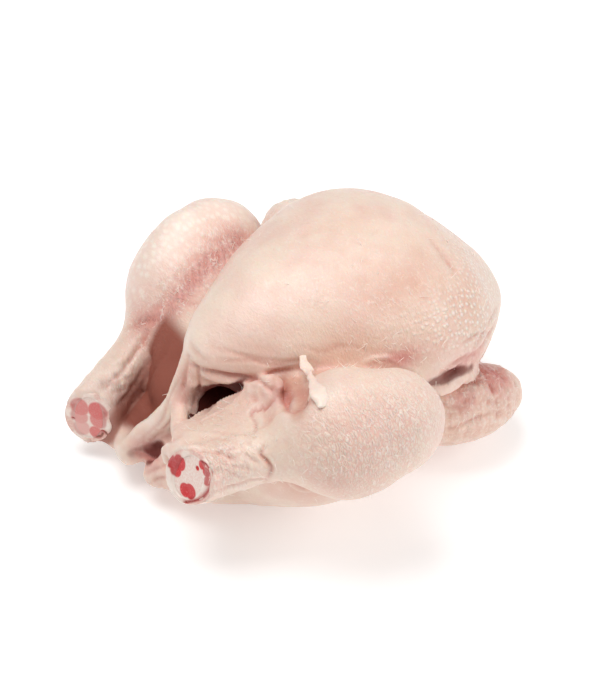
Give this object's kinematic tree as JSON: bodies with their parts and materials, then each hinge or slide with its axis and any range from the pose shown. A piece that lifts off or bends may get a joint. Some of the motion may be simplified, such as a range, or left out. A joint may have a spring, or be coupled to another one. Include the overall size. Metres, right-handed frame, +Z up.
{
  "type": "whole raw chicken",
  "caption": "Plucked and dressed raw chicken lying on its back, legs untied, shanks sawn off at the hock, body cavity open at the vent.",
  "frame": {"origin": "on the flat of the back where the bird rests, under the middle of the body", "axes": "+Z up through the breast, +X towards the neck end, +Y towards the bird's right side"},
  "size_m": [0.1941, 0.2, 0.1126],
  "materials": {
    "skin": "moist, softly wrinkled, satin",
    "bone": "wet, satin"
  },
  "bodies": {
    "root": {"bird": "skin", "left_leg_bone": "bone", "right_leg_bone": "bone"}
  },
  "joints": []
}
